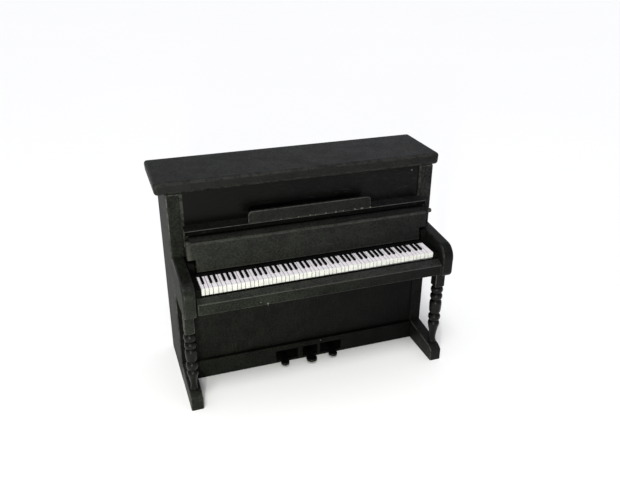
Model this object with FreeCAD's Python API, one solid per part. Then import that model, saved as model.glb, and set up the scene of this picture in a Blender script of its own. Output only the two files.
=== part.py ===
import FreeCAD, Part
import math
import os

# Upright piano, dolls house scale. Millimetres, +X to the treble side, +Y to the back, +Z up.
# The origin is on the floor under the middle of the case.

# overall case
CASE_WIDTH = 130.0
FRONT = -3.325           # front plane of the two side panels
CASE_DEPTH = 32.4
SIDE_HEIGHT = 98.6
SIDE_THICK = 5.9
PANEL_THICK = 2.0
PANEL_RECESS = 0.9

# lid
LID_LEFT = 4.85          # the lid stands out further at the left end than at the right
LID_RIGHT = 2.7
LID_THICK = 5.7
LID_FRONT = 0.6
LID_BACK = 1.65

# arms, legs and toes
ARM_LENGTH = 27.3
ARM_TOP_BACK = 68.5
ARM_TOP_FRONT = 66.7
ARM_UNDER_BACK = 49.6
ARM_UNDER_FRONT = 50.4
LEG_Y = FRONT - 18.9
LEG_X = 62.05
LEG_BLOCK = 4.8
LEG_NECK = 2.0           # radius between two turned rings
LEG_RING = 2.93          # radius of a ring and of the barrel
# heights on each leg: top of the vase, three rings and the barrel between them, foot of the block
LEG_LEVELS_LEFT = (19.4, 20.0, 24.1, 24.6, 31.0, 31.4, 34.9, 35.3, 39.1, 39.7)
LEG_LEVELS_RIGHT = (21.1, 21.6, 25.2, 25.7, 33.3, 33.8, 37.2, 37.7, 41.1, 41.7)
TOE_LENGTH = 24.5
TOE_TOP_BACK = 10.2
TOE_TOP_FRONT = 8.1

# key bed and keys
BED_TOP = 58.0
BED_UNDER = 52.2
SLIP_TOP = 58.9          # the bed rises to a sloping lip just in front of the keys
SLIP_FRONT_TOP = 57.8
SLIP_GAP = 0.25
BED_FRONT = FRONT - 27.4
WHITE_KEYS = 55
KEY_HALF = 55.9
KEY_TOP = 62.9
KEY_UNDER = 59.6
KEY_FRONT = FRONT - 23.05
KEY_BACK = FRONT - 9.9
SEMITONE = 1.19
FIRST_GAP = -54.35       # centre of the first gap between two white keys
WHITE_GAP = 0.2
BLACK_WIDTH = 1.05
BLACK_FRONT = FRONT - 18.9
BLACK_HEIGHT = 0.8

# fallboard
PIVOT_Y = FRONT - 7.65
PIVOT_Z = 66.0
FALL_LEAN = 9.0
FALL_THICK = 3.0
FALL_HALF = 58.8
FALL_LOW = -2.45
NOSING_UP = 12.35
NOSING_D = 3.3
PIN_D = 1.0
PIN_BORE = 1.1

# shelf and music rail
SHELF_TOP = 82.8
SHELF_THICK = 2.0
SHELF_FRONT = FRONT - 6.0
SUPPORT_FRONT = FRONT - 3.7
RAIL_HALF = 29.9
RAIL_HEIGHT = 5.6

# plinth and pedals
PLINTH_TOP = 10.2
PLINTH_PROUD = 1.2
SILL = 1.5
OPENING_TOP = 7.3
OPENINGS = ((-17.1, -5.4), (-2.8, 5.3), (6.8, 18.4))

# lid hinges
HINGE_X = 38.0
HINGE_Y = FRONT + CASE_DEPTH + 0.85
HINGE_Z = SIDE_HEIGHT - 0.4
KNUCKLE_R = 0.8

HALF = CASE_WIDTH / 2
INNER = HALF - SIDE_THICK
BACK = FRONT + CASE_DEPTH


def vec(x, y, z):
    return FreeCAD.Vector(x, y, z)


def box(x0, x1, y0, y1, z0, z1):
    return Part.makeBox(x1 - x0, y1 - y0, z1 - z0, vec(x0, y0, z0))


def outline(start, steps, place):
    """Closed wire. A step of two numbers is a line, a step of four is an arc by its middle and end."""
    edges = []
    at = start
    for step in tuple(steps) + (start,):
        end = tuple(step[-2:])
        if len(step) == 4:
            edges.append(Part.Arc(place(*at), place(*step[:2]), place(*end)).toShape())
        elif math.dist(at, end) > 1e-6:
            edges.append(Part.LineSegment(place(*at), place(*end)).toShape())
        at = end
    return Part.Wire(edges)


def across(start, steps, x0, x1):
    """Solid with a closed YZ outline, running from x0 to x1."""
    wire = outline(start, steps, lambda y, z: vec(x0, y, z))
    return Part.Face(wire).extrude(vec(x1 - x0, 0, 0))


def cylinder_x(x0, x1, y, z, diameter):
    return Part.makeCylinder(diameter / 2, x1 - x0, vec(x0, y, z), vec(1, 0, 0))


def rounded(shape, radius, chosen):
    edges = [edge for edge in shape.Edges if chosen(edge)]
    return shape.makeFillet(radius, edges)


def edge_box(edge):
    return edge.BoundBox


def along_x(y, z, tolerance=0.01):
    """Chooses the edge that runs along X at the given y and z."""
    def chosen(edge):
        b = edge_box(edge)
        near_y = abs(b.YMin - y) < tolerance and abs(b.YMax - y) < tolerance
        near_z = abs(b.ZMin - z) < tolerance and abs(b.ZMax - z) < tolerance
        return near_y and near_z
    return chosen


def mirrored(shape):
    return shape.mirror(vec(0, 0, 0), vec(1, 0, 0))


def leaning(shape):
    """Tilts a piece drawn upright about the fallboard pivot back to its open position."""
    tilted = shape.copy()
    tilted.rotate(vec(0, PIVOT_Y, PIVOT_Z), vec(1, 0, 0), -FALL_LEAN)
    return tilted


def make_side_panel():
    panel = box(INNER, HALF, FRONT, BACK, 0.0, SIDE_HEIGHT)
    panel = rounded(panel, 0.6, lambda e: edge_box(e).ZMin > SIDE_HEIGHT - 0.01)
    rabbet = box(INNER - 1, HALF - 3.95, FRONT - 1, FRONT + PANEL_RECESS + PANEL_THICK,
                 PLINTH_TOP - 1.6, BED_UNDER)
    return panel.cut(rabbet)


def make_lid():
    lid = box(-HALF - LID_LEFT, HALF + LID_RIGHT, FRONT - LID_FRONT, BACK + LID_BACK,
              SIDE_HEIGHT, SIDE_HEIGHT + LID_THICK)
    lid = rounded(lid, 1.6, lambda e: edge_box(e).ZLength > LID_THICK - 0.01)
    lid = rounded(lid, 1.3, lambda e: edge_box(e).ZLength < 0.01)
    for side in (-1, 1):
        leaf = box(side * HINGE_X - 4.0, side * HINGE_X + 4.0, HINGE_Y - 6.0, BACK + LID_BACK + 1,
                   SIDE_HEIGHT - 1, SIDE_HEIGHT + 0.4)
        hollow = cylinder_x(side * HINGE_X - 4.0, side * HINGE_X + 4.0, HINGE_Y, HINGE_Z,
                            2 * KNUCKLE_R + 0.2)
        lid = lid.cut(leaf).cut(hollow)
    return lid


def hinge_parts(side):
    """The two leaves and the pin of one lid hinge."""
    x = side * HINGE_X
    barrel_y, barrel_z, d = HINGE_Y, HINGE_Z, 2 * KNUCKLE_R
    case_leaf = box(x - 4.0, x + 4.0, BACK, BACK + 0.4, HINGE_Z - 5.0, HINGE_Z)
    case_leaf = case_leaf.cut(box(x - 5.0, x - 1.5, BACK - 1, BACK + 1, HINGE_Z - 1.0, HINGE_Z + 1))
    case_leaf = case_leaf.cut(box(x + 1.5, x + 5.0, BACK - 1, BACK + 1, HINGE_Z - 1.0, HINGE_Z + 1))
    case_leaf = case_leaf.fuse(cylinder_x(x - 1.4, x + 1.4, barrel_y, barrel_z, d))
    lid_leaf = box(x - 3.95, x + 3.95, HINGE_Y - 5.9, HINGE_Y, SIDE_HEIGHT, SIDE_HEIGHT + 0.4)
    lid_leaf = lid_leaf.cut(box(x - 1.5, x + 1.5, HINGE_Y - 1.0, HINGE_Y + 1, SIDE_HEIGHT - 1,
                                SIDE_HEIGHT + 1))
    lid_leaf = lid_leaf.fuse(cylinder_x(x - 3.8, x - 1.5, barrel_y, barrel_z, d))
    lid_leaf = lid_leaf.fuse(cylinder_x(x + 1.5, x + 3.8, barrel_y, barrel_z, d))
    lid_leaf = lid_leaf.cut(cylinder_x(x - 5, x + 5, barrel_y, barrel_z, 0.8))
    case_leaf = case_leaf.cut(cylinder_x(x - 5, x + 5, barrel_y, barrel_z, 0.7))
    pin = cylinder_x(x - 3.8, x + 3.8, barrel_y, barrel_z, 0.7)
    return case_leaf, lid_leaf, pin


def make_arm():
    front = FRONT - ARM_LENGTH
    steps = [(FRONT, ARM_TOP_BACK), (FRONT - 21.4, ARM_TOP_FRONT + 0.1)]
    steps.append((FRONT - 25.75, 64.35, front, 58.6))
    steps.append((front, 53.4))
    steps.append((front + 0.75, 51.3, front + 2.7, ARM_UNDER_FRONT))
    return across((FRONT, ARM_UNDER_BACK), steps, INNER, HALF)


def make_toe():
    """Long foot under the leg. Its top falls gently, then more steeply to a rounded nose."""
    front = FRONT - TOE_LENGTH
    steps = [(FRONT, TOE_TOP_BACK), (front + 4.6, TOE_TOP_FRONT)]
    steps.append((front + 1.6, TOE_TOP_FRONT - 0.95, front, TOE_TOP_FRONT - 2.2))
    steps.append((front, 0.0))
    return across((FRONT, 0.0), steps, INNER, HALF)


def make_leg(levels):
    """Turned leg: square block on top, two rings, a barrel, a ring and a long vase foot."""
    vase, ring_a, ring_b, barrel_a, barrel_b, ring_c, ring_d, ring_e, ring_f, block_z = levels
    neck, wide = LEG_NECK, LEG_RING
    steps = [(1.95, 7.8), (1.95, 9.2), (1.62, 10.2), (1.72, 12.2), (1.95, 14.4)]
    steps += [(2.4, vase - 2.6), (2.55, vase - 1.6), (2.5, vase - 0.6), (neck, vase)]
    for low, high in ((ring_a, ring_b), (ring_c, ring_d), (ring_e, ring_f)):
        if low == ring_c:
            steps += [(neck, barrel_a), (wide - 0.15, barrel_a + 0.45), (wide, barrel_a + 1.3)]
            steps += [(wide, barrel_b - 1.3), (wide - 0.15, barrel_b - 0.45), (neck, barrel_b)]
        steps += [(neck, low), (wide - 0.25, low + 0.5), (wide, low + 1.15)]
        steps += [(wide, high - 1.15), (wide - 0.25, high - 0.5), (neck, high)]
    steps += [(neck, block_z), (0.0, block_z)]
    wire = outline((0.0, 7.8), steps, lambda radius, z: vec(radius, 0, z))
    turned = Part.Face(wire).revolve(vec(0, 0, 0), vec(0, 0, 1), 360)
    half = LEG_BLOCK / 2
    block = box(-half, half, -half, half, block_z, 56.0)
    block = rounded(block, 0.35, lambda e: edge_box(e).ZLength > 1)
    leg = turned.fuse(block)
    leg.translate(vec(LEG_X, LEG_Y, 0))
    leg = leg.cut(make_arm()).cut(make_toe())
    above = box(INNER - 2, HALF + 2, FRONT - 30, FRONT, 52.0, 70.0)
    leg = leg.cut(above).removeSplitter()
    return leg


def key_gaps():
    """Centres of the gaps between white keys, with True where a black key covers the gap."""
    octave = ((1.5, True), (2.0, True), (1.5, False), (1.5, True), (2.0, True), (2.0, True),
              (1.5, False))
    pattern = ((0.0, True), (1.5, False)) + octave * 8
    gaps = []
    place = 0.0
    for step, black in pattern[:WHITE_KEYS - 1]:
        place += step
        gaps.append((FIRST_GAP + SEMITONE * place, black))
    return gaps


def make_white_keys():
    points = [(-KEY_HALF, KEY_UNDER), (-KEY_HALF, KEY_TOP)]
    for x, black in key_gaps():
        points += [(x - WHITE_GAP / 2, KEY_TOP), (x - WHITE_GAP / 2, KEY_TOP - 0.5)]
        points += [(x + WHITE_GAP / 2, KEY_TOP - 0.5), (x + WHITE_GAP / 2, KEY_TOP)]
    points += [(KEY_HALF, KEY_TOP), (KEY_HALF, KEY_UNDER)]
    wire = Part.makePolygon([vec(x, KEY_FRONT, z) for x, z in points + points[:1]])
    return Part.Face(wire).extrude(vec(0, KEY_BACK - KEY_FRONT, 0))


def make_black_keys():
    spine_front = FRONT - 11.8
    points = [(-KEY_HALF, KEY_BACK), (-KEY_HALF, spine_front)]
    for x, black in key_gaps():
        if black:
            points += [(x - BLACK_WIDTH / 2, spine_front), (x - BLACK_WIDTH / 2, BLACK_FRONT)]
            points += [(x + BLACK_WIDTH / 2, BLACK_FRONT), (x + BLACK_WIDTH / 2, spine_front)]
    points += [(KEY_HALF, spine_front), (KEY_HALF, KEY_BACK)]
    wire = Part.makePolygon([vec(x, y, KEY_TOP) for x, y in points + points[:1]])
    return Part.Face(wire).extrude(vec(0, 0, BLACK_HEIGHT))


def make_key_block():
    low = KEY_TOP - 0.3
    post = 2.3
    steps = [(PIVOT_Y + post, BED_TOP), (PIVOT_Y + post, PIVOT_Z)]
    steps.append((PIVOT_Y, PIVOT_Z + post, PIVOT_Y - post, PIVOT_Z))
    steps += [(PIVOT_Y - post, low), (KEY_FRONT, low)]
    block = across((KEY_FRONT, BED_TOP), steps, KEY_HALF + 0.2, INNER)
    return block.cut(cylinder_x(KEY_HALF - 1, INNER + 1, PIVOT_Y, PIVOT_Z, PIN_BORE))


def make_nosing():
    bar = cylinder_x(-57.3, 61.9, PIVOT_Y, PIVOT_Z + NOSING_UP, NOSING_D)
    return leaning(bar)


def make_fallboard():
    y0, y1 = PIVOT_Y - FALL_THICK / 2, PIVOT_Y + FALL_THICK / 2
    low, high = PIVOT_Z + FALL_LOW, PIVOT_Z + NOSING_UP
    board = box(-FALL_HALF, FALL_HALF, y0, y1, low, high)
    for side in (-1, 1):
        x0, x1 = sorted((side * (KEY_HALF - 0.6), side * (FALL_HALF + 1)))
        board = board.cut(box(x0, x1, y0 - 1, y1 + 1, low - 1, PIVOT_Z + 3.5))
        x0, x1 = sorted((side * 53.0, side * FALL_HALF))
        board = board.cut(cylinder_x(x0, x1, PIVOT_Y, PIVOT_Z, PIN_D))
    return leaning(board).cut(make_nosing())


def make_fall_pin():
    return cylinder_x(53.0, INNER - 0.1, PIVOT_Y, PIVOT_Z, PIN_D)


def make_music_rail():
    y0, y1 = SHELF_FRONT + 0.3, SHELF_FRONT + 2.2
    rail = box(-RAIL_HALF, RAIL_HALF, y0, y1, SHELF_TOP, SHELF_TOP + RAIL_HEIGHT)
    top = SHELF_TOP + RAIL_HEIGHT
    rail = rounded(rail, 1.9, lambda e: edge_box(e).YLength > 1 and edge_box(e).ZMin > top - 0.01)
    return rail


def make_shelf():
    shelf = box(-INNER, INNER, SHELF_FRONT, FRONT + PANEL_RECESS + PANEL_THICK,
                SHELF_TOP - SHELF_THICK, SHELF_TOP)
    shelf = rounded(shelf, 0.3, along_x(SHELF_FRONT, SHELF_TOP))
    return shelf


def make_plinth():
    plinth = box(-INNER, INNER, FRONT - PLINTH_PROUD, FRONT + PANEL_RECESS, 0.3, PLINTH_TOP)
    for x0, x1 in OPENINGS:
        plinth = plinth.cut(box(x0, x1, FRONT - 5, FRONT + 5, SILL, OPENING_TOP))
    return rounded(plinth, 0.3, along_x(FRONT - PLINTH_PROUD, PLINTH_TOP))


def make_pedal(x, width, reach):
    """Flat lever with a rounded toe, lying on the sill and the bottom board."""
    thick = 1.4
    radius = width / 2
    toe = Part.makeCylinder(radius, thick, vec(x, FRONT - reach + radius, SILL))
    neck = box(x - 1.3, x + 1.3, FRONT - reach + radius, FRONT + 9.0, SILL, SILL + thick)
    pedal = toe.fuse(neck).removeSplitter()
    return rounded(pedal, 0.45, lambda e: edge_box(e).ZMin > SILL + thick - 0.01)


def make_key_bed():
    slip_back = KEY_FRONT - SLIP_GAP
    steps = [(BED_FRONT, SLIP_FRONT_TOP), (slip_back, SLIP_TOP), (slip_back, BED_TOP)]
    steps += [(FRONT + 12.0, BED_TOP), (FRONT + 12.0, BED_UNDER)]
    bed = across((BED_FRONT, BED_UNDER), steps, -INNER, INNER)
    bed = rounded(bed, 0.5, along_x(BED_FRONT, SLIP_FRONT_TOP))
    return rounded(bed, 0.4, along_x(BED_FRONT, BED_UNDER))


def build():
    parts = {}
    inside = FRONT + PANEL_RECESS
    side = make_side_panel()
    arm = make_arm()
    toe = make_toe()
    block = make_key_block()
    pin = make_fall_pin()
    trim = box(INNER - 1.5, INNER, FRONT + 0.2, inside, SHELF_TOP, SIDE_HEIGHT)
    parts["top_lid"] = make_lid()
    for name, shape in (("side_panel", side), ("arm", arm), ("toe_block", toe),
                        ("key_block", block), ("fallboard_pin", pin),
                        ("upper_trim_strip", trim)):
        parts[name + "_right"] = shape
        parts[name + "_left"] = mirrored(shape)
    parts["leg_right"] = make_leg(LEG_LEVELS_RIGHT)
    parts["leg_left"] = mirrored(make_leg(LEG_LEVELS_LEFT))
    parts["back_panel"] = box(-INNER, INNER, BACK - PANEL_THICK, BACK, 0.0, SIDE_HEIGHT)
    parts["bottom_board"] = box(-INNER, INNER, inside, BACK - PANEL_THICK, 0.0, SILL)
    parts["upper_front_panel"] = box(-INNER, INNER, inside, inside + PANEL_THICK, SHELF_TOP,
                                     SIDE_HEIGHT)
    parts["music_shelf"] = make_shelf()
    parts["music_rail"] = make_music_rail()
    parts["shelf_support_rail"] = box(-INNER, INNER, SUPPORT_FRONT, inside + PANEL_THICK, 74.5,
                                      SHELF_TOP - SHELF_THICK)
    parts["inner_front_board"] = box(-INNER, INNER, inside, inside + PANEL_THICK, BED_TOP, 74.5)
    parts["lower_front_panel"] = box(-HALF + 3.95, HALF - 3.95, inside, inside + PANEL_THICK,
                                     PLINTH_TOP - 1.6, BED_UNDER)
    parts["bottom_rail"] = make_plinth()
    parts["key_bed"] = make_key_bed()
    parts["key_base"] = box(-KEY_HALF, KEY_HALF, KEY_FRONT + 0.8, FRONT - 5.4, BED_TOP, KEY_UNDER)
    parts["white_key_strip"] = make_white_keys()
    parts["black_key_comb"] = make_black_keys()
    parts["fallboard"] = make_fallboard()
    parts["fallboard_nosing"] = make_nosing()
    for name, x, width, reach in (("left", -13.4, 4.4, 6.9), ("middle", 0.7, 5.6, 8.4),
                                  ("right", 12.6, 4.6, 7.1)):
        parts["pedal_" + name] = make_pedal(x, width, reach)
    for name, sign in (("left", -1), ("right", 1)):
        case_leaf, lid_leaf, hinge_pin = hinge_parts(sign)
        parts["lid_hinge_case_leaf_" + name] = case_leaf
        parts["lid_hinge_lid_leaf_" + name] = lid_leaf
        parts["lid_hinge_pin_" + name] = hinge_pin
    return parts


os.makedirs("parts", exist_ok=True)
for node, shape in build().items():
    solid = shape.Solids[0] if shape.ShapeType == "Compound" and len(shape.Solids) == 1 else shape
    solid.exportStep(os.path.join("parts", node + ".step"))
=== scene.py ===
import math
import random

import bmesh
import bpy
from mathutils import Matrix, Vector


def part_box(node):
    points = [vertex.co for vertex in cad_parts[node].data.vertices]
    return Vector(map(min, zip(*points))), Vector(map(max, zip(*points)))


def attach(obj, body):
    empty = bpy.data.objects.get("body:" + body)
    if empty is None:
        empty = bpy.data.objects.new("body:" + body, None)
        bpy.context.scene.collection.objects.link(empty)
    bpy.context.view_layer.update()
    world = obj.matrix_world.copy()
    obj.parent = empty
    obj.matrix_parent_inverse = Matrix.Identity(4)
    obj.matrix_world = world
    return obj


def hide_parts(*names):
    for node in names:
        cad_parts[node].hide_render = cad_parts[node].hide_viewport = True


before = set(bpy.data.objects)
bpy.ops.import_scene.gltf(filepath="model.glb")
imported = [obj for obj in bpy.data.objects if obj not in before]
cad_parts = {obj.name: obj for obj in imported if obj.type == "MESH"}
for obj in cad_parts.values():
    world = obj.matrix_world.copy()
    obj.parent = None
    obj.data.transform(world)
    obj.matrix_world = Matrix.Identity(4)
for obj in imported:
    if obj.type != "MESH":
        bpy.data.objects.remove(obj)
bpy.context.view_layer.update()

# Lengths are in millimetres until a mesh is made. +X treble side, +Y back, +Z up.
MM = 0.001
LEAN = math.radians(9.0)          # how far the open fallboard leans back
random.seed(7)


def span(node):
    """Lowest and highest corner of a CAD node, in millimetres."""
    lo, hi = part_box(node)
    return lo / MM, hi / MM


def middle(node):
    """Centre of a CAD node, in millimetres."""
    lo, hi = span(node)
    return (lo + hi) / 2


SIDE_LO, SIDE_HI = span("side_panel_right")
FRONT, BACK, HALF = SIDE_LO.y, SIDE_HI.y, SIDE_HI.x
PIVOT = middle("fallboard_pin_right")
PAIR = (("left", -1), ("right", 1))
TOUCH = 0.01                      # what is closer than this lies on the same line or face


# ---------------------------------------------------------------- node helpers

class Nodes:
    """Short calls for building one material."""

    def __init__(self, name):
        self.material = bpy.data.materials.new(name)
        self.material.use_nodes = True
        self.tree = self.material.node_tree
        self.tree.nodes.clear()
        self.coords = self.add("ShaderNodeTexCoord").outputs["Object"]

    def add(self, kind, **settings):
        node = self.tree.nodes.new(kind)
        for key, value in settings.items():
            setattr(node, key, value)
        return node

    def put(self, socket, value):
        if isinstance(value, bpy.types.NodeSocket):
            self.tree.links.new(value, socket)
        else:
            socket.default_value = value

    def noise(self, scale, detail, rough, stretch=(1, 1, 1)):
        """Noise with features about 1 / scale metres wide, wider along a stretched axis."""
        mapping = self.add("ShaderNodeMapping")
        self.put(mapping.inputs["Vector"], self.coords)
        mapping.inputs["Scale"].default_value = [scale / s for s in stretch]
        node = self.add("ShaderNodeTexNoise")
        self.put(node.inputs["Vector"], mapping.outputs["Vector"])
        node.inputs["Scale"].default_value = 1.0
        node.inputs["Detail"].default_value = detail
        node.inputs["Roughness"].default_value = rough
        return node.outputs["Fac"]

    def math(self, operation, a, b, c=0.0, clamp=False):
        node = self.add("ShaderNodeMath", operation=operation, use_clamp=clamp)
        for socket, value in zip(node.inputs, (a, b, c)):
            self.put(socket, value)
        return node.outputs[0]

    def ramp(self, value, low, high, out_low=0.0, out_high=1.0):
        node = self.add("ShaderNodeMapRange", interpolation_type="SMOOTHSTEP")
        for socket, number in zip(node.inputs[:5], (value, low, high, out_low, out_high)):
            self.put(socket, number)
        return node.outputs["Result"]

    def mix(self, factor, a, b, blend_type="MIX"):
        node = self.add("ShaderNodeMix", data_type="RGBA", blend_type=blend_type)
        self.put(node.inputs[0], factor)
        self.put(node.inputs[6], a)
        self.put(node.inputs[7], b)
        return node.outputs[2]

    def bump(self, height, distance, strength, normal=None):
        node = self.add("ShaderNodeBump")
        self.put(node.inputs["Height"], height)
        node.inputs["Distance"].default_value = distance
        node.inputs["Strength"].default_value = strength
        if normal is not None:
            self.put(node.inputs["Normal"], normal)
        return node.outputs["Normal"]

    def finish(self, color, roughness, normal=None, **values):
        shader = self.add("ShaderNodeBsdfPrincipled")
        self.put(shader.inputs["Base Color"], color)
        self.put(shader.inputs["Roughness"], roughness)
        if normal is not None:
            self.put(shader.inputs["Normal"], normal)
        for key, value in values.items():
            shader.inputs[key.replace("_", " ")].default_value = value
        output = self.add("ShaderNodeOutputMaterial")
        self.put(output.inputs["Surface"], shader.outputs["BSDF"])
        return self.material


# Painted light: the paint is lighter and greener towards the bass end and bluer towards the treble
# end, in place of the light's colour and its fall across the case.
BASS_LIGHT_TINT, TREBLE_LIGHT_TINT = (0.99, 1.09, 0.87), (1.0, 1.0, 1.08)
LIGHT_TINT_REACH = 0.066                # metres from the middle to where a painted light tint is full
GRAIN_LENGTH = 14.0               # length of the wood's fibres against their width


def painted(name, grain, tone=1.0, wear=0.5, gloss=0.5, speck=0.0, shine=0.22, edge_highlight=0.0, light_falloff=0.0,
            even=0.0):
    """Black paint on wood: grain showing through, a mottled skin and lighter edges, partly rubbed
    paint and partly a painted highlight.

    tone is how light it is, fade how much of that it loses from the bass to the treble end, which
    is painted light, and even lightens the dark patches. wear is the rubbed patches at the edges
    and rim the painted highlight all along them, speck the light dots, gloss the roughness and
    shine the specular level.
    """
    n = Nodes("black_paint_" + name)
    stretch = [GRAIN_LENGTH if axis == grain else 1.0 for axis in "xyz"]
    fibre = n.noise(2600, 4, 0.6, stretch)
    skin = n.noise(1300, 3, 0.6)
    cloud = n.noise(140, 3, 0.5)
    mottle = n.math("ADD", n.math("MULTIPLY", skin, 0.7), n.math("MULTIPLY", cloud, 0.3))
    low = tone * (1 + 3 * even)
    dark = (0.0022 * low, 0.0024 * low, 0.0020 * low, 1)
    pale = (0.0125 * tone, 0.0130 * tone, 0.0113 * tone, 1)
    color = n.mix(n.ramp(mottle, 0.38, 0.62), dark, pale)
    color = n.mix(n.ramp(fibre, 0.56, 0.74, 0.0, 0.35), color, (0.02, 0.02, 0.018, 1))
    # Painted light: lighter and greener towards the bass end, bluer towards the treble end.
    place = n.add("ShaderNodeSeparateXYZ")
    n.put(place.inputs[0], n.coords)
    across = n.ramp(place.outputs["X"], -LIGHT_TINT_REACH, LIGHT_TINT_REACH)
    bass = [(1 + light_falloff) * c for c in BASS_LIGHT_TINT] + [1]
    treble = [(1 - light_falloff) * c for c in TREBLE_LIGHT_TINT] + [1]
    color = n.mix(1.0, color, n.mix(across, bass, treble), "MULTIPLY")
    edge = n.add("ShaderNodeAttribute", attribute_name="edge").outputs["Fac"]
    patches = n.math("ADD", n.noise(420, 4, 0.65), n.math("MULTIPLY", fibre, 0.2))
    rubbed = n.ramp(patches, 0.42, 0.72)
    # Lighter edges: rubbed paint in patches, and all along them a painted highlight.
    wear_and_highlight = n.math("MULTIPLY", edge, n.math("MULTIPLY_ADD", rubbed, wear, edge_highlight), clamp=True)
    color = n.mix(wear_and_highlight, color, (0.115, 0.115, 0.105, 1))
    if speck:
        dots = n.ramp(n.noise(2200, 1, 0.4), 0.74, 0.80, 0.0, speck)
        color = n.mix(dots, color, (0.10, 0.10, 0.095, 1))
    rough = n.ramp(mottle, 0.3, 0.7, gloss + 0.08, gloss - 0.06)
    normal = n.bump(n.math("ADD", n.math("MULTIPLY", fibre, 0.7), skin), 0.00004, 0.7)
    normal = n.bump(cloud, 0.0002, 0.2, normal)
    return n.finish(color, rough, normal, Specular_IOR_Level=shine)


def key_white(name, low, high, gap_shade_color):
    """Slightly glossy key material, darker on its rounded edges as painted shade of the gaps
    between keys.
    """
    n = Nodes(name)
    cloud = n.noise(600, 3, 0.55)
    color = n.mix(n.ramp(cloud, 0.35, 0.68), low, high)
    # Painted shade: darker on the rounded edges, for the shade in the gaps between keys.
    gap_shade = n.add("ShaderNodeAttribute", attribute_name="edge").outputs["Fac"]
    color = n.mix(n.math("MULTIPLY", gap_shade, 0.6), color, gap_shade_color)
    normal = n.bump(n.noise(900, 2, 0.5), 0.00003, 0.3)
    return n.finish(color, n.ramp(cloud, 0.3, 0.7, 0.38, 0.5), normal, Specular_IOR_Level=0.4)


def key_black():
    """Dull black of the short keys."""
    n = Nodes("key_black")
    cloud = n.noise(700, 3, 0.5)
    color = n.mix(cloud, (0.0008, 0.0008, 0.0008, 1), (0.003, 0.003, 0.003, 1))
    rough = n.ramp(cloud, 0.3, 0.7, 0.5, 0.62)
    return n.finish(color, rough, n.bump(cloud, 0.00003, 0.4), Specular_IOR_Level=0.06)


def glue():
    """Dried glue, for small drops and specks."""
    n = Nodes("dried_glue")
    cloud = n.noise(1300, 3, 0.6)
    color = n.mix(cloud, (0.02, 0.02, 0.018, 1), (0.09, 0.09, 0.085, 1))
    return n.finish(color, n.ramp(cloud, 0.3, 0.7, 0.25, 0.5), n.bump(cloud, 0.00008, 0.6))


def metal(name, dark, light, rough):
    """Brushed metal with duller patches."""
    n = Nodes(name)
    brushed = n.noise(3500, 3, 0.6, (10, 1, 1))
    cloud = n.noise(400, 3, 0.5)
    color = n.mix(cloud, dark, light)
    roughness = n.ramp(cloud, 0.3, 0.7, rough - 0.08, rough + 0.12)
    return n.finish(color, roughness, n.bump(brushed, 0.00002, 0.4), Metallic=1.0)


# Copies of one black paint whose tones differ by part, set to match how light each part looks under
# the lamps: partly painted light and shade.
PAINT_LID = painted("lid", "x", tone=0.52, wear=0.12, shine=0.13, light_falloff=-0.35)
PAINT_SIDE = painted("sides", "z", tone=1.1, gloss=0.66, shine=0.14, edge_highlight=0.05, light_falloff=0.1, even=0.5)
PAINT_STILE = painted("stiles", "z", gloss=0.66, shine=0.1, light_falloff=-0.15)
PAINT_PANEL = painted("upper_panel", "x", tone=0.18, wear=0.3, gloss=0.36, shine=0.08, light_falloff=-0.8)
PAINT_TRIM = painted("trim", "z", tone=0.5, wear=0.4, shine=0.1)
PAINT_LOWER = painted("lower_panel", "z", tone=0.36, wear=0.3, gloss=0.55, shine=0.08, light_falloff=0.55)
# Painted shade: a dark copy of the paint for the fronts of the sides under the arms, where the arms
# and legs shade them.
PAINT_UNDER_ARM_SHADE = painted("under_arms_shade", "z", tone=0.25, wear=0.2, gloss=0.6, shine=0.06)
PAINT_PLINTH = painted("plinth", "x", tone=0.44, wear=0.4, gloss=0.55, shine=0.06, edge_highlight=0.05,
                       light_falloff=0.5)
PAINT_SHELF = painted("shelf", "x", tone=0.8, wear=0.2, gloss=0.7, shine=0.1, edge_highlight=0.2, light_falloff=-0.2)
# Painted shade: a near-black copy of the shelf's paint for its front and underside, which lie in
# shade.
PAINT_SHELF_SHADE = painted("shelf_front_shade", "x", tone=0.1, wear=0.0, gloss=0.7, shine=0.03)
PAINT_RAIL = painted("rail", "x", tone=0.5, wear=0.25, shine=0.12, edge_highlight=0.12, light_falloff=0.1)
# Painted light and shade: a lighter copy of the paint for the key bed's top, against the keys'
# shadow on it, and a darker copy for its front, which fades more towards the treble end.
PAINT_BED_LIT = painted("key_bed", "x", tone=1.3, wear=0.15, shine=0.2, edge_highlight=0.25, light_falloff=0.05)
PAINT_BED_FRONT_SHADED = painted("slip_shaded", "x", tone=0.8, wear=0.1, gloss=0.55, shine=0.08, edge_highlight=0.1,
                          light_falloff=0.65)
PAINT_ARM = painted("arms", "y", tone=0.65, wear=0.08, gloss=0.36, shine=0.11, light_falloff=0.5)
# Painted light: a lighter, rougher copy of the arms' paint for their sides, set to how light falls
# on them.
PAINT_CHEEK_LIT = painted("cheeks_lit", "y", wear=0.0, gloss=0.66, shine=0.1, light_falloff=0.6, even=0.6)
PAINT_TOE = painted("toes", "y", tone=0.85, wear=0.4, shine=0.1, edge_highlight=0.1, light_falloff=0.3)
PAINT_FALL = painted("fallboard", "x", tone=0.8, wear=0.35, speck=0.35, shine=0.13, edge_highlight=0.1,
                     light_falloff=0.2)
PAINT_NOSE = painted("nosing", "x", tone=0.35, wear=0.3, gloss=0.6, shine=0.08, edge_highlight=0.25)
PAINT_LEG = painted("turned", "z", tone=0.22, wear=0.04, gloss=0.34, shine=0.12, light_falloff=0.3)
PAINT_BACK = painted("back", "z", gloss=0.55)
PAINT_INSIDE = painted("inside", "x", tone=0.5, wear=0.0, gloss=0.6, shine=0.1)
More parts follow.
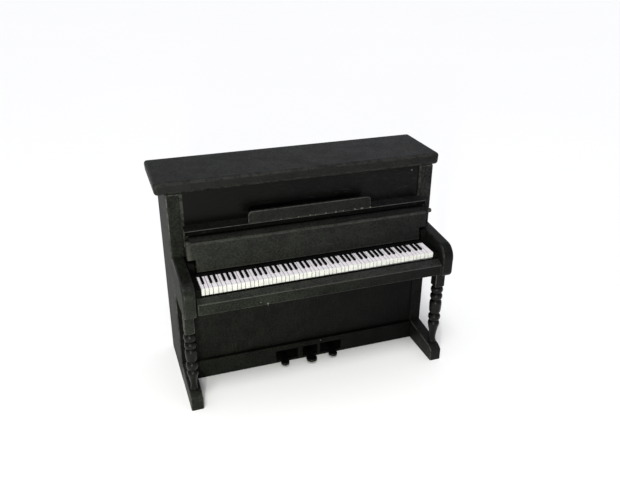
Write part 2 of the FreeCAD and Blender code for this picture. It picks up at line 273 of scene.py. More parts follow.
# Painted shade: a dark copy of the paint for the blocks at the ends of the keys, which lie in
# shade.
PAINT_WELL_SHADE = painted("key_well_shade", "y", tone=0.25, wear=0.0, gloss=0.7, shine=0.04)
KEY_TOP = key_white("key_white", (0.80, 0.765, 0.79, 1), (0.90, 0.865, 0.885, 1),
                    (0.30, 0.26, 0.30, 1))
# Painted shade: a darker copy of the key colour for the key fronts, set against the strong light
# they get from the front lamp.
KEY_FRONT_SHADED = key_white("key_front_shaded", (0.50, 0.50, 0.475, 1), (0.60, 0.60, 0.56, 1),
                      (0.32, 0.31, 0.30, 1))
# Painted shade: the dark core under the keys stands in for the shade in the gaps between them.
KEY_GAP_SHADE = key_white("key_gap_shade", (0.05, 0.045, 0.05, 1), (0.12, 0.11, 0.12, 1), (0.05, 0.05, 0.05, 1))
KEY_BLACK = key_black()
GLUE = glue()
BRASS = metal("brass", (0.42, 0.27, 0.10, 1), (0.74, 0.55, 0.26, 1), 0.36)
STEEL = metal("steel", (0.36, 0.36, 0.37, 1), (0.60, 0.60, 0.61, 1), 0.34)


# ---------------------------------------------------------------- mesh helpers

def cube(bm, lo, hi):
    """Adds a box."""
    for v in bmesh.ops.create_cube(bm, size=1.0)["verts"]:
        v.co = Vector([lo[i] + (v.co[i] + 0.5) * (hi[i] - lo[i]) for i in range(3)])


def raised(point, axis, at):
    """A point of an outline drawn in the plane across axis, at a distance along the axis."""
    values = list(point)
    values.insert("xyz".index(axis), at)
    return values


def join_rings(bm, rings):
    """Makes a solid from a row of rings of vertices, closed at both ends."""
    for low, high in zip(rings, rings[1:]):
        for i in range(len(low)):
            j = (i + 1) % len(low)
            bm.faces.new((low[i], low[j], high[j], high[i]))
    bm.faces.new(rings[0])
    bm.faces.new(rings[-1])


def prism(bm, points, axis, a, b):
    """Adds a closed outline, drawn in the plane across axis, run from a to b along it."""
    rings = [[bm.verts.new(raised(p, axis, at)) for p in points] for at in (a, b)]
    join_rings(bm, rings)
    return rings[0] + rings[1]


def rounded_prism(bm, points, axis, a, b, radius, steps=5):
    """A prism rounded over at both ends, with 1 on the rounding in the layer for rubbed paint and
    painted highlight.
    """
    wear_and_highlight = bm.verts.layers.float.new("wear_and_highlight")
    count = len(points)
    corners = [Vector(p) for p in points]
    area = sum(corners[i - 1].x * corners[i].y - corners[i].x * corners[i - 1].y
               for i in range(count))
    turn = 1 if area > 0 else -1
    shortest = 0.4                # keeps the inset of a sharp corner in bounds
    inward = []
    for i in range(count):
        before = (corners[i] - corners[i - 1]).normalized()
        after = (corners[(i + 1) % count] - corners[i]).normalized()
        one, two = Vector((-before.y, before.x)) * turn, Vector((-after.y, after.x)) * turn
        between = (one + two).normalized()
        inward.append(between / max(shortest, between.dot(one)))
    rings = []
    for at, sign in ((a, 1), (b, -1)):
        half = []
        for step in range(steps + 1):
            angle = math.pi / 2 * step / steps
            inset, along = radius * (1 - math.sin(angle)), radius * (1 - math.cos(angle))
            ring = []
            for corner, direction in zip(corners, inward):
                v = bm.verts.new(raised(corner + direction * inset, axis, at + sign * along))
                v[wear_and_highlight] = 1.0 if 0 < step < steps else 0.0
                ring.append(v)
            half.append(ring)
        rings += half if sign == 1 else half[::-1]
    join_rings(bm, rings)


def lathe(bm, profile, centre, axis, steps):
    """Adds a turned solid. The profile is (radius, height) from one end to the other."""
    rings = []
    for radius, height in profile:
        ring = []
        for i in range(steps):
            turn = 2 * math.pi * i / steps
            u, v = radius * math.cos(turn), radius * math.sin(turn)
            offset = Vector((u, v, height)) if axis == "z" else Vector((height, u, v))
            ring.append(bm.verts.new(Vector(centre) + offset))
        rings.append(ring)
    join_rings(bm, rings)


def arc(start, via, end, count):
    """Points on the circle through three points, without the first one."""
    (ax, ay), (bx, by), (cx, cy) = start, via, end
    d = 2 * (ax * (by - cy) + bx * (cy - ay) + cx * (ay - by))
    a2, b2, c2 = ax * ax + ay * ay, bx * bx + by * by, cx * cx + cy * cy
    ux = (a2 * (by - cy) + b2 * (cy - ay) + c2 * (ay - by)) / d
    uy = (a2 * (cx - bx) + b2 * (ax - cx) + c2 * (bx - ax)) / d
    radius = math.hypot(ax - ux, ay - uy)
    first = math.atan2(ay - uy, ax - ux)
    through = (math.atan2(by - uy, bx - ux) - first) % (2 * math.pi)
    sweep = (math.atan2(cy - uy, cx - ux) - first) % (2 * math.pi)
    if through > sweep:
        sweep -= 2 * math.pi
    turns = [first + sweep * (i + 1) / count for i in range(count)]
    return [(ux + radius * math.cos(t), uy + radius * math.sin(t)) for t in turns]


def rise(edge):
    """Difference in height between the two ends of an edge."""
    return abs(edge.verts[0].co.z - edge.verts[1].co.z)


SHARP = 0.6                       # radians


def bevel(bm, radius, segments, chosen=None):
    """Rounds the sharp edges of a mesh, or the chosen ones of them."""
    bmesh.ops.recalc_face_normals(bm, faces=bm.faces)
    edges = [e for e in bm.edges if len(e.link_faces) == 2 and e.calc_face_angle() > SHARP]
    if chosen is not None:
        edges = [e for e in edges if chosen(e)]
    bmesh.ops.bevel(bm, geom=edges, offset=radius, offset_type="OFFSET", segments=segments,
                    profile=0.5, affect="EDGES", clamp_overlap=True)


def mark_edges(bm, layer, radius):
    """Writes 1 on the vertices inside a rounded edge and 0 on those of the faces beside it."""
    narrow = {}
    for face in bm.faces:
        longest = max(e.calc_length() for e in face.edges)
        narrow[face] = face.calc_area() / max(longest, 1e-6)
    for v in bm.verts:
        if all(narrow[f] < 0.95 * radius for f in v.link_faces):
            v[layer] = 1.0


def piece(name, bm, body, material, nodes=(), radius=0.3, wear=None):
    """Makes a piece from a mesh in millimetres and hangs it on a body of the frame.

    Its edge attribute, for rubbed paint and a painted highlight along the edges, comes from
    wear: a function of the place, the name of a vertex layer, or nothing for the edges that were
    rounded with the given radius.
    """
    bmesh.ops.recalc_face_normals(bm, faces=bm.faces)
    layer = bm.verts.layers.float.new("edge")
    if wear is None:
        mark_edges(bm, layer, radius)
    else:
        for v in bm.verts:
            v[layer] = wear(v.co) if callable(wear) else v[bm.verts.layers.float[wear]]
    bmesh.ops.scale(bm, vec=(MM, MM, MM), verts=bm.verts)
    mesh = bpy.data.meshes.new(name)
    bm.to_mesh(mesh)
    bm.free()
    mesh.polygons.foreach_set("use_smooth", [True] * len(mesh.polygons))
    mesh.set_sharp_from_angle(angle=math.radians(50))
    mesh.materials.append(material)
    obj = bpy.data.objects.new(name, mesh)
    bpy.context.scene.collection.objects.link(obj)
    weighted = obj.modifiers.new("normals", "WEIGHTED_NORMAL")
    weighted.keep_sharp = True
    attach(obj, body)
    if nodes:
        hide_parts(*nodes)
    return obj


def looks_front(face):
    return face.normal.y < -0.9


def second_paint(obj, material, chosen):
    """Gives the chosen faces of a piece another material."""
    obj.data.materials.append(material)
    for face in obj.data.polygons:
        if chosen(face):
            face.material_index = len(obj.data.materials) - 1


def board(name, node, material, radius=0.3, segments=3, wear=None):
    """A board with rounded edges that takes the place of a CAD node."""
    bm = bmesh.new()
    cube(bm, *span(node))
    bevel(bm, radius, segments)
    piece(name, bm, "case", material, [node], radius, wear)


def lean(bm):
    """Tilts a mesh drawn upright about the fallboard's pivot to its open position."""
    bmesh.ops.rotate(bm, cent=(0, PIVOT.y, PIVOT.z), matrix=Matrix.Rotation(-LEAN, 3, "X"),
                     verts=bm.verts)


def blobs(name, places):
    """Small flattened lumps, each a squashed and roughened ball: (x, y, z, rx, ry, rz)."""
    bm = bmesh.new()
    for x, y, z, rx, ry, rz in places:
        made = bmesh.ops.create_icosphere(bm, subdivisions=2, radius=1.0)["verts"]
        for v in made:
            rough = 1 + random.uniform(-0.14, 0.14)
            v.co = Vector((x + v.co.x * rx * rough, y + v.co.y * ry * rough,
                           z + v.co.z * rz * rough))
    piece(name, bm, "case", GLUE, wear=lambda co: 0.0)


def heads(name, body, places, size):
    """Screw or nail heads, each at a place on a surface that looks along its second vector."""
    profile = [(size, -0.1), (size, 0.03), (0.76 * size, 0.12), (0.36 * size, 0.16)]
    bm = bmesh.new()
    for place, toward in places:
        start = len(bm.verts)
        lathe(bm, profile, (0, 0, 0), "z", 20)
        bm.verts.ensure_lookup_table()
        turn = Vector((0, 0, 1)).rotation_difference(Vector(toward)).to_matrix().to_4x4()
        bmesh.ops.transform(bm, matrix=Matrix.Translation(Vector(place)) @ turn,
                            verts=bm.verts[start:])
    piece(name, bm, body, STEEL, radius=0.1)


# ---------------------------------------------------------------- case

def make_lid():
    """Rounded board whose ends slant in a little towards the bottom."""
    lo, hi = span("top_lid")
    corner_radius, rim_radius, slant = 1.6, 1.5, 0.4
    bm = bmesh.new()
    cube(bm, lo, hi)
    bevel(bm, corner_radius, 5, lambda e: rise(e) > 1)
    bevel(bm, rim_radius, 5, lambda e: rise(e) < TOUCH)
    for v in bm.verts:
        below = (hi.z - v.co.z) / (hi.z - lo.z)
        if v.co.x < lo.x + 2 * rim_radius:
            v.co.x += slant * below
        elif v.co.x > hi.x - 2 * rim_radius:
            v.co.x -= slant * below
    piece("lid", bm, "lid", PAINT_LID, ["top_lid"], 1.0)


def make_sides():
    """Side panels, with the outer front edge and the top rounded and the front in two paints of
    painted shade.
    """
    under_arm = 50.5
    for suffix, sign in PAIR:
        node = "side_panel_" + suffix
        lo, hi = span(node)
        outer = HALF * sign
        bm = bmesh.new()
        cube(bm, lo, hi)

        def rounded_more(e):
            a, b = e.verts
            level = min(a.co.z, b.co.z) > hi.z - TOUCH
            upright = rise(e) > 1 and abs(a.co.x - outer) < TOUCH
            return level or (upright and a.co.y < FRONT + TOUCH)

        bevel(bm, 0.7, 4, rounded_more)
        bmesh.ops.bisect_plane(bm, geom=bm.verts[:] + bm.edges[:] + bm.faces[:],
                               plane_co=(0, 0, under_arm), plane_no=(0, 0, 1))
        side = piece("side_" + suffix, bm, "case", PAINT_SIDE, [node], 0.5)
        # Painted shade: the front faces take darker copies of the sides' paint, darkest under the
        # arm.
        second_paint(side, PAINT_STILE, looks_front)
        second_paint(side, PAINT_UNDER_ARM_SHADE,
                     lambda face: looks_front(face) and face.center.z < under_arm * MM)


def make_arms():
    """Arms beside the keys: sloping top, rounded front and foot, rubbed and rounded edges."""
    for suffix, _ in PAIR:
        node = "arm_" + suffix
        lo, hi = span(node)
        front, back = lo.y, hi.y
        points = [(back, hi.z), (front + 5.9, hi.z - 1.7)]
        points += arc(points[-1], (front + 1.55, 64.35), (front, 58.6), 12)
        points.append((front, 53.4))
        points += arc(points[-1], (front + 0.75, 51.3), (front + 2.7, 50.4), 8)
        points.append((back, lo.z))
        bm = bmesh.new()
        rounded_prism(bm, points, "x", lo.x, hi.x, 1.2)
        arm = piece("arm_piece_" + suffix, bm, "case", PAINT_ARM, [node], wear="wear_and_highlight")
        # The sides take the lighter copy, painted light.
        second_paint(arm, PAINT_CHEEK_LIT, lambda face: abs(face.normal.x) > 0.98)


def make_toes():
    """Long feet under the legs, sloping to a rounded toe."""
    top = 8.1
    for suffix, _ in PAIR:
        node = "toe_block_" + suffix
        lo, hi = span(node)
        front, back = lo.y, hi.y
        points = [(back, hi.z), (front + 4.6, top)]
        points += arc(points[-1], (front + 1.6, top - 0.95), (front, top - 2.2), 8)
        points += [(front, 0.0), (back, 0.0)]
        bm = bmesh.new()
        rounded_prism(bm, points, "x", lo.x, hi.x, 0.5, 3)
        piece("toe_" + suffix, bm, "case", PAINT_TOE, [node], wear="wear_and_highlight")


# Heights of the turned details, which differ between the legs: the top of the vase, the lower
# and upper ends of the ring, the long bead and the two rings above it, the foot of the block.
LEG_LEVELS = {
    "left": (19.4, 20.0, 24.1, 24.6, 31.0, 31.4, 34.9, 35.3, 39.1, 39.7),
    "right": (21.1, 21.6, 25.2, 25.7, 33.3, 33.8, 37.2, 37.7, 41.1, 41.7),
}
LEG_WIDTH = {"left": (0.95, -0.2), "right": (1.06, 0.4)}     # scale, and shift along X
NECK, RING = 2.0, 2.93            # radii of the turning between the rings and at a ring


def ring_profile(low, high):
    """A turned ring, round in section."""
    steps, fullness = 12, 1.15
    centre, half = (low + high) / 2, (high - low) / 2
    points = []
    for i in range(steps + 1):
        turn = math.pi * (i / steps - 0.5)
        bulge = max(0.0, math.cos(turn)) ** fullness
        points.append((NECK + (RING - NECK) * bulge, centre + half * math.sin(turn)))
    return points


def make_legs():
    """Turned legs, each with a square block at the top."""
    for suffix, _ in PAIR:
        node = "leg_" + suffix
        lo, hi = span(node)
        vase, a0, a1, b0, b1, c0, c1, d0, d1, block_z = LEG_LEVELS[suffix]
        profile = [(1.9, lo.z), (1.95, 8.9), (1.75, 9.6), (1.58, 10.4), (1.6, 11.6)]
        for i in range(1, 9):
            t = i / 8
            profile.append((1.6 + 1.15 * t ** 1.5, 11.6 + (vase - 13.6) * t))
        profile += [(2.8, vase - 1.5), (2.68, vase - 0.8), (2.4, vase - 0.25), (NECK, vase)]
        profile += ring_profile(a0, a1)
        profile += [(NECK, b0), (2.35, b0 + 0.25), (2.6, b0 + 0.8), (2.78, b0 + 1.7),
                    ((RING + 2.78) / 2, (b0 + b1) / 2), (RING, b1 - 1.7), (2.78, b1 - 0.8),
                    (2.5, b1 - 0.25), (NECK, b1)]
        profile += ring_profile(c0, c1) + ring_profile(d0, d1)
        profile += [(NECK, block_z), (NECK, block_z + 0.3)]
        wider, shift = LEG_WIDTH[suffix]
        profile = [(r * wider, z) for r, z in profile]
        x, y = (lo.x + hi.x) / 2 + shift, (lo.y + hi.y) / 2
        bm = bmesh.new()
        lathe(bm, profile, (x, y, 0), "z", 36)

        def wear(co):
            """Rubbed where the turning is thick."""
            out = math.hypot(co.x - x, co.y - y)
            return 0.7 * max(0.0, min(1.0, (out - 2.5) / 0.4))

        piece("leg_turning_" + suffix, bm, "case", PAINT_LEG, [node], wear=wear)
        half = 2.4 * wider
        front_top, back_top = hi.z - 0.02, hi.z - 0.25
        points = [(y - half, block_z), (y + half, block_z), (y + half, back_top),
                  (y - half, front_top)]
        bm = bmesh.new()
        prism(bm, points, "x", x - half, x + half)
        bevel(bm, 0.45, 3)
        piece("leg_block_" + suffix, bm, "case", PAINT_TOE, radius=0.4)


def make_plinth():
    """Board with three openings: a grid of cells with the cells of the openings left out."""
    lo, hi = span("bottom_rail")
    openings = ((-17.1, -5.4), (-2.8, 5.3), (6.8, 18.4))
    opening_low, opening_high = 1.5, 7.3
    xs = [lo.x] + [x for opening in openings for x in opening] + [hi.x]
    zs = [lo.z, opening_low, opening_high, hi.z]
    columns, rows = len(xs) - 1, len(zs) - 1
    bm = bmesh.new()
    grid = {}
    for side, y in enumerate((lo.y, hi.y)):
        for i, x in enumerate(xs):
            for k, z in enumerate(zs):
                grid[i, side, k] = bm.verts.new((x, y, z))

    def solid(i, k):
        inside = 0 <= i < columns and 0 <= k < rows
        return inside and not (k == 1 and i % 2 == 1)

    for i, k in ((i, k) for i in range(columns) for k in range(rows) if solid(i, k)):
        for side in (0, 1):
            bm.faces.new([grid[p] for p in ((i, side, k), (i + 1, side, k),
                                            (i + 1, side, k + 1), (i, side, k + 1))])
        walls = (((-1, 0), (i, k), (i, k + 1)), ((1, 0), (i + 1, k), (i + 1, k + 1)),
                 ((0, -1), (i, k), (i + 1, k)), ((0, 1), (i, k + 1), (i + 1, k + 1)))
        for (di, dk), a, b in walls:
            if not solid(i + di, k + dk):
                bm.faces.new([grid[a[0], 0, a[1]], grid[b[0], 0, b[1]],
                              grid[b[0], 1, b[1]], grid[a[0], 1, a[1]]])
    bmesh.ops.recalc_face_normals(bm, faces=bm.faces)
    bmesh.ops.dissolve_limit(bm, angle_limit=0.02, verts=bm.verts, edges=bm.edges)
    bevel(bm, 0.3, 3)
    piece("plinth", bm, "case", PAINT_PLINTH, ["bottom_rail"], 0.3)


def make_pedals():
    """Flat levers with a round end."""
    neck, steps = 1.3, 16
    for suffix in ("left", "middle", "right"):
        node = "pedal_" + suffix
        lo, hi = span(node)
        x, radius = (lo.x + hi.x) / 2, (hi.x - lo.x) / 2
        y = lo.y + radius
        points = []
        for i in range(steps + 1):
            turn = math.pi * (1 + i / steps)
            points.append((x + radius * math.cos(turn), y + radius * math.sin(turn)))
        right = [(x + radius * 0.93, y + radius * 0.4), (x + neck + 0.25, y + radius * 0.95),
                 (x + neck, y + radius * 1.4), (x + neck, hi.y)]
        points += right + [(2 * x - px, py) for px, py in reversed(right)]
        bm = bmesh.new()
        prism(bm, points, "z", lo.z, hi.z)
        bevel(bm, 0.42, 4)
        piece("pedal_lever_" + suffix, bm, "case", PAINT_LEG, [node], 0.4)


def make_shelf():
    """Music shelf, and the rail on it with rounded corners and glue along its foot."""
    lo, hi = span("music_shelf")
    bm = bmesh.new()
    cube(bm, lo, hi)
    bevel(bm, 0.35, 4)
    shelf = piece("shelf", bm, "case", PAINT_SHELF, ["music_shelf"], 0.35)
    # Painted shade on the shelf's front and underside.
    second_paint(shelf, PAINT_SHELF_SHADE,
                 lambda face: looks_front(face) or face.normal.z < -0.3)
    lo, hi = span("music_rail")
    corner = 1.9
    near = corner * (1 - math.sqrt(0.5))
    points = [(lo.x, lo.z), (lo.x, hi.z - corner)]
    points += arc(points[-1], (lo.x + near, hi.z - near), (lo.x + corner, hi.z), 6)
    points.append((hi.x - corner, hi.z))
    points += arc(points[-1], (hi.x - near, hi.z - near), (hi.x, hi.z - corner), 6)
    points.append((hi.x, lo.z))
    bm = bmesh.new()
    rounded_prism(bm, points, "y", lo.y, hi.y, 0.45, 3)
    piece("rail", bm, "case", PAINT_RAIL, ["music_rail"], wear="wear_and_highlight")
    drops = ((-14.5, 0.3), (-6.3, 0.3), (-0.6, 0.4), (2.1, 0.3), (7.2, 0.45), (12.2, 0.45),
             (15.9, 0.3), (21.8, 0.55), (25.4, 0.75), (29.6, 0.5))
    blobs("rail_glue", [(x, lo.y - 0.05, lo.z + 0.12, size, 0.3, 0.3 + 0.2 * size)
                        for x, size in drops])


def make_back_nails():
    """Rows of nail heads along the edges of the back board."""
    lo, hi = span("back_panel")
    rows = [(x, z) for z in (lo.z + 2.2, hi.z - 2.6) for x in (-52, -26, 0, 26, 52)]
    rows += [(x, z) for x in (lo.x + 2.2, hi.x - 2.2) for z in (30, 62)]
    heads("back_nails", "case", [((x, hi.y - 0.04, z), (0, 1, 0)) for x, z in rows], 0.5)


BARREL = 0.8                      # radius of a lid hinge's barrel


def hinge_leaf(name, body, plate, barrels, axis, screws, node):
    """One leaf of a lid hinge: a thin plate, its share of the barrel and its screw heads."""
    soft = 0.1
    bm = bmesh.new()
    cube(bm, *plate)
    bevel(bm, 0.12, 2)
    for a, b in barrels:
        profile = [(BARREL - soft, 0.0), (BARREL, soft), (BARREL, b - a - soft),
                   (BARREL - soft, b - a)]
        lathe(bm, profile, (a, axis.y, axis.z), "x", 24)
    piece(name, bm, body, BRASS, [node], 0.12)
    heads(name + "_screws", body, screws, 0.55)


def make_hinges():
    """The lid's two hinges: one leaf on the back of the case, the other under the lid."""
    plate_half, lid_plate_half = 4, 3.95
    for suffix, _ in PAIR:
        axis = middle("lid_hinge_pin_" + suffix)
        x, lid_under = axis.x, span("top_lid")[0].z
        foot = span("lid_hinge_case_leaf_" + suffix)[0].z
        screws = [((x + dx, BACK + 0.4, foot + dz), (0, 1, 0))
                  for dx, dz in ((-2.7, 2.6), (0, 1.1), (2.7, 2.6))]
        plate = ((x - plate_half, BACK - 0.02, foot), (x + plate_half, BACK + 0.4, axis.z - 0.9))
        hinge_leaf("hinge_case_" + suffix, "case", plate, [(x - 1.4, x + 1.4)], axis, screws,
                   "lid_hinge_case_leaf_" + suffix)
        front = span("lid_hinge_lid_leaf_" + suffix)[0].y
        face = lid_under - 0.06
        screws = [((x + dx, front + dy, face), (0, 0, -1))
                  for dx, dy in ((-2.7, 2.2), (0, 1.3), (2.7, 2.2))]
        plate = ((x - lid_plate_half, front, face),
                 (x + lid_plate_half, axis.y - 0.6, lid_under + 0.3))
        hinge_leaf("hinge_lid_" + suffix, "lid", plate, [(x - 3.8, x - 1.5), (x + 1.5, x + 3.8)],
                   axis, screws, "lid_hinge_lid_leaf_" + suffix)


# ---------------------------------------------------------------- keyboard

KEY_PITCH = 1.19
FIRST_GAP = -54.35                # X of the first gap from the bass end
WHITE_KEYS = 55
GAP = 0.25
BLACK_HALF = 0.525                # half the width of a black key
KEY_RISE = 0.8                    # how much thinner the white keys get towards the treble end


def key_gaps():
    """Centres of the gaps between white keys, with True where a black key covers the gap."""
    octave = ((1.5, True), (2.0, True), (1.5, False), (1.5, True), (2.0, True), (2.0, True),
              (1.5, False))
    pattern = ((0.0, True), (1.5, False)) + octave * 8
    gaps, place = [], 0.0
    for step, black in pattern[:WHITE_KEYS - 1]:
        place += step
        gaps.append((FIRST_GAP + KEY_PITCH * place, black))
    return gaps


def make_white_keys():
    """One strip of rounded, slightly uneven keys, on a dark core that shows in the gaps as painted
    shade.
    """
    lo, hi = span("white_key_strip")
    ends = [lo.x] + [x for x, _ in key_gaps()] + [hi.x]
    bm = bmesh.new()
    for left, right in zip(ends, ends[1:]):
        a = left + (GAP / 2 if left > lo.x else 0)
        b = right - (GAP / 2 if right < hi.x else 0)
        one = bmesh.new()
        drop = random.uniform(0.0, 0.05)
        under = lo.z + KEY_RISE * (left - lo.x) / (hi.x - lo.x)
        cube(one, (a, lo.y + random.uniform(0, 0.05), under), (b, hi.y, hi.z - drop))
        bevel(one, 0.11, 2)
        mesh = bpy.data.meshes.new("one_key")
        one.to_mesh(mesh)
        one.free()
        bm.from_mesh(mesh)
        bpy.data.meshes.remove(mesh)
    keys = len(bm.faces)
    cube(bm, (lo.x + 0.1, lo.y + 0.35, lo.z + 0.02), (hi.x - 0.1, hi.y - 0.1, hi.z - 0.6))
    strip = piece("white_keys", bm, "case", KEY_TOP, ["white_key_strip"], 0.12)
    second_paint(strip, KEY_FRONT_SHADED, lambda face: face.normal.y < -0.8)
    second_paint(strip, KEY_GAP_SHADE, lambda face: face.index >= keys)


def make_black_keys():
    """Comb of black keys on one spine behind the white ones."""
    lo, hi = span("black_key_comb")
    spine = FRONT - 11.8
    bm = bmesh.new()
    for x, black in key_gaps():
        if black:
            cube(bm, (x - BLACK_HALF, lo.y, lo.z - 0.1), (x + BLACK_HALF, spine + 0.2, hi.z))
    bevel(bm, 0.12, 2)
    cube(bm, (lo.x, spine, lo.z), (hi.x, hi.y, hi.z - 0.02))
    piece("black_keys", bm, "case", KEY_BLACK, ["black_key_comb"], 0.1)


def make_key_blocks():
    """Blocks at the ends of the keys, each with a post round the fallboard's pivot."""
    post, shoulder = 2.3, 62.6
    for suffix, _ in PAIR:
        node = "key_block_" + suffix
        lo, hi = span(node)
        points = [(PIVOT.y + post, lo.z), (PIVOT.y + post, PIVOT.z)]
        points += arc(points[-1], (PIVOT.y, PIVOT.z + post), (PIVOT.y - post, PIVOT.z), 12)
        points += [(PIVOT.y - post, shoulder), (lo.y, shoulder), (lo.y, lo.z)]
        bm = bmesh.new()
        prism(bm, points, "x", lo.x, hi.x)
        bevel(bm, 0.2, 2)
        piece("key_end_" + suffix, bm, "case", PAINT_WELL_SHADE, [node], 0.2)


def make_key_bed():
    """Board under the keys, with a sloping lip in front that is higher at the treble end."""
    lo, hi = span("key_bed")
    slip_back = span("white_key_strip")[0].y - 0.4
    slip_front_top, bed_top = hi.z - 1.1, hi.z - 0.9
    lift, round_off, end_gap = 0.5, 0.6, 0.35
    points = [(lo.y, lo.z), (lo.y, slip_front_top), (slip_back, hi.z), (slip_back, bed_top),
              (hi.y, bed_top), (hi.y, lo.z)]
    bm = bmesh.new()
    for v in prism(bm, points, "x", lo.x + end_gap, hi.x - end_gap):
        if v.co.x > 0 and v.co.z > hi.z - TOUCH:
            v.co.z += lift
    bevel(bm, round_off, 4, lambda e: max(v.co.y for v in e.verts) < lo.y + TOUCH)

    def wear(co):
        """Painted highlight along the front edge of the lip, and a fainter one underneath at the
        bass end.
        """
        on_edge = slip_front_top - 0.97 * round_off < co.z < slip_front_top - 0.3 * round_off
        if on_edge and co.y < lo.y + 0.5 * round_off:
            return 1.0
        underneath = co.z < lo.z + 0.9 * round_off and co.y < lo.y + round_off
        return 0.25 * (0.5 - 0.5 * co.x / hi.x) if underneath else 0.0

    bed = piece("bed", bm, "case", PAINT_BED_LIT, ["key_bed"], wear=wear)
    second_paint(bed, PAINT_BED_FRONT_SHADED, looks_front)
    blobs("bed_drop", [(-27.7, lo.y, 53.0, 0.55, 0.2, 0.4), (-31.0, lo.y, 54.0, 0.3, 0.1, 0.2)])


# ---------------------------------------------------------------- fallboard

def make_fallboard():
    """Leaf with notched lower corners, drawn upright, cut where its paint is lighter and leaned
    back.
    """
    lo, hi = span("fallboard")
    nose_lo, nose_hi = span("fallboard_nosing")
    nose, nose_radius = (nose_lo + nose_hi) / 2, (nose_hi.z - nose_lo.z) / 2
    notch_x, notch_z = 55.3, PIVOT.z + 3.5
    low, high = PIVOT.z - 2.45, PIVOT.z + math.hypot(nose.y - PIVOT.y, nose.z - PIVOT.z)
    points = [(-notch_x, low), (notch_x, low), (notch_x, notch_z), (hi.x, notch_z), (hi.x, high),
              (lo.x, high), (lo.x, notch_z), (-notch_x, notch_z)]
    bm = bmesh.new()
    prism(bm, points, "y", PIVOT.y - 1.5, PIVOT.y + 1.5)
    bevel(bm, 0.32, 3)
    left_strip, low_strip = (-57.9, -57.2, -56.5), (low + 0.35, low + 0.8)
    top_strip = [high - nose_radius - h for h in (-0.1, 0.3, 0.5)]
    cuts = [((x, 0, 0), (1, 0, 0)) for x in left_strip]
    cuts += [((0, 0, z), (0, 0, 1)) for z in (*low_strip, *top_strip)]
    for place, normal in cuts:
        geom = bm.verts[:] + bm.edges[:] + bm.faces[:]
        bmesh.ops.bisect_plane(bm, geom=geom, plane_co=place, plane_no=normal)
    wear_and_highlight = bm.verts.layers.float.new("wear_and_highlight")
    # Lighter towards the bass end; along the lower edge and along the top a painted highlight,
    # brighter towards the treble end.
    for v in bm.verts:
        left = max(0.0, min(1.0, (left_strip[-1] - v.co.x) / 1.2))
        below = max(0.0, min(1.0, (low_strip[-1] - v.co.z) / 0.6))
        above = 1.0 if top_strip[1] - TOUCH < v.co.z < top_strip[0] + TOUCH else 0.0
        v[wear_and_highlight] = max(0.4 * left, 0.35 * below, (0.3 + 0.003 * max(v.co.x, 0)) * above)
    lean(bm)
    piece("fallboard_leaf", bm, "fallboard", PAINT_FALL, ["fallboard"], wear="wear_and_highlight")


def make_nosing():
    """Slightly uneven round bead along the fallboard's edge, with a knob at its treble end."""
    lo, hi = span("fallboard_nosing")
    centre, radius = (lo + hi) / 2, (hi.z - lo.z) / 2
    knob_out, knob_in, knob_past = 1.7, 1.2, 0.6
    length = hi.x - lo.x - knob_out
    soft, steps = 0.55, 40
    profile = [(0.3, 0.0), (radius - soft, 0.0)]
    profile += [(radius - soft + soft * math.sin(t), soft - soft * math.cos(t))
                for t in (0.4, 0.8, 1.2, math.pi / 2)]
    rounding = len(profile)
    for i in range(1, steps):
        along = soft + (length - 2 * soft) * i / steps
        wave = 0.04 * math.sin(along * 0.21)
        profile.append((radius + wave + random.uniform(-0.02, 0.02), along))
    profile += [(r, length - h) for r, h in reversed(profile[:rounding])]
    bm = bmesh.new()
    lathe(bm, profile, (lo.x, centre.y, centre.z), "x", 28)
    knob = knob_in + knob_out + knob_past
    profile = [(0.3, 0.0), (0.8, 0.0), (1.08, 0.25), (1.08, knob - 0.5), (0.9, knob - 0.15),
               (0.5, knob)]
    lathe(bm, profile, (hi.x - knob_in - knob_out, centre.y, centre.z - 1.1), "x", 24)

    def wear(co):
        """Rubbed paint and a painted highlight at the knob, which stands out past the fallboard."""
        return 0.9 * max(0.0, min(1.0, co.x - hi.x + 2.0))

    piece("fallboard_nose", bm, "fallboard", PAINT_NOSE, ["fallboard_nosing"], wear=wear)


# ---------------------------------------------------------------- stage

def make_floor():
    n = Nodes("floor_white")
    cloud = n.noise(3.0, 2, 0.5)
    color = n.mix(cloud, (0.94, 0.94, 0.93, 1), (0.96, 0.96, 0.95, 1))
    material = n.finish(color, 0.8, Specular_IOR_Level=0.1)
    bm = bmesh.new()
    bmesh.ops.create_circle(bm, cap_ends=True, radius=6.0, segments=64)
    mesh = bpy.data.meshes.new("floor")
    bm.to_mesh(mesh)
    bm.free()
    mesh.materials.append(material)
    floor = bpy.data.objects.new("floor", mesh)
    bpy.context.scene.collection.objects.link(floor)


def add_light(name, kind, toward, energy, color):
    """A light that shines from the direction toward, and its data."""
    data = bpy.data.lights.new(name, kind)
    data.energy = energy
    data.color = color
    light = bpy.data.objects.new(name, data)
    light.rotation_euler = Vector(toward).to_track_quat("Z", "Y").to_euler()
    bpy.context.scene.collection.objects.link(light)
    return light, data


def make_lights():
    """An even sky, a wide sun from above and a small soft lamp in front of the bass end."""
    world = bpy.data.worlds.new("studio")
    world.use_nodes = True
    background = world.node_tree.nodes["Background"]
    background.inputs["Color"].default_value = (0.94, 0.945, 1.0, 1)
    background.inputs["Strength"].default_value = 0.63
    bpy.context.scene.world = world
    _, sun = add_light("overhead", "SUN", (-0.20, -0.38, 0.90), 1.55, (1.0, 1.0, 0.99))
    sun.angle = math.radians(20)
    place, target = Vector((-0.141, -0.363, 0.092)), Vector((-0.05, -0.02, 0.05))
    lamp, disk = add_light("front", "AREA", place - target, 1.05, (0.98, 1.0, 0.88))
    disk.shape = "DISK"
    disk.size = 0.025
    lamp.location = place
    lamp.visible_camera = False


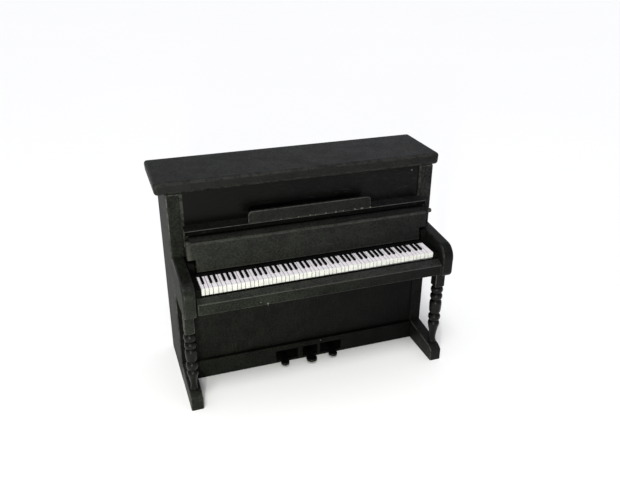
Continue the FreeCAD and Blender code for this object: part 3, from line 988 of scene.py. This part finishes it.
def make_camera():
    yaw, pitch, roll = math.radians(19.13), math.radians(-26.61), math.radians(0.27)
    place = Vector((-93.36, FRONT - 273.58, 205.7)) * MM
    data = bpy.data.cameras.new("camera")
    data.sensor_width = 36.0
    data.lens = 38.71045
    data.shift_x = -0.0005
    data.shift_y = 0.0013
    camera = bpy.data.objects.new("camera", data)
    turn = (Matrix.Rotation(-yaw, 4, "Z") @ Matrix.Rotation(math.pi / 2 + pitch, 4, "X")
            @ Matrix.Rotation(roll, 4, "Z"))
    camera.matrix_world = Matrix.Translation(place) @ turn
    bpy.context.scene.collection.objects.link(camera)
    bpy.context.scene.camera = camera
    bpy.context.scene.view_settings.view_transform = "Standard"


# ---------------------------------------------------------------- build

make_lid()
make_sides()
make_arms()
make_toes()
make_legs()
make_plinth()
make_pedals()
make_shelf()
make_hinges()
make_back_nails()
make_white_keys()
make_black_keys()
make_key_blocks()
make_key_bed()
make_fallboard()
make_nosing()
board("upper_panel", "upper_front_panel", PAINT_PANEL, 0.15, 2)
board("lower_panel", "lower_front_panel", PAINT_LOWER, 0.15, 2)
board("back_board", "back_panel", PAINT_BACK)
board("support_rail", "shelf_support_rail", PAINT_STILE)
for suffix, _ in PAIR:
    board("trim_" + suffix, "upper_trim_strip_" + suffix, PAINT_TRIM, 0.15, 2, lambda co: 0.5)
blobs("light_specks", [(-20.1, span("lower_front_panel")[0].y, 34.5, 0.35, 0.1, 0.3),
                       (7.0, span("bottom_rail")[0].y, 9.1, 0.4, 0.12, 0.3),
                       (53.9, span("upper_front_panel")[0].y, 96.6, 0.4, 0.1, 0.3)])

# The CAD nodes that no piece replaces: boards inside the case, and pins.
KEPT_NODES = {"bottom_board": PAINT_INSIDE, "inner_front_board": PAINT_INSIDE,
              "key_base": PAINT_INSIDE}
for suffix, _ in PAIR:
    KEPT_NODES["lid_hinge_pin_" + suffix] = STEEL
    KEPT_NODES["fallboard_pin_" + suffix] = PAINT_INSIDE
for node, material in KEPT_NODES.items():
    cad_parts[node].data.materials.clear()
    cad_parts[node].data.materials.append(material)

make_floor()
make_lights()
make_camera()
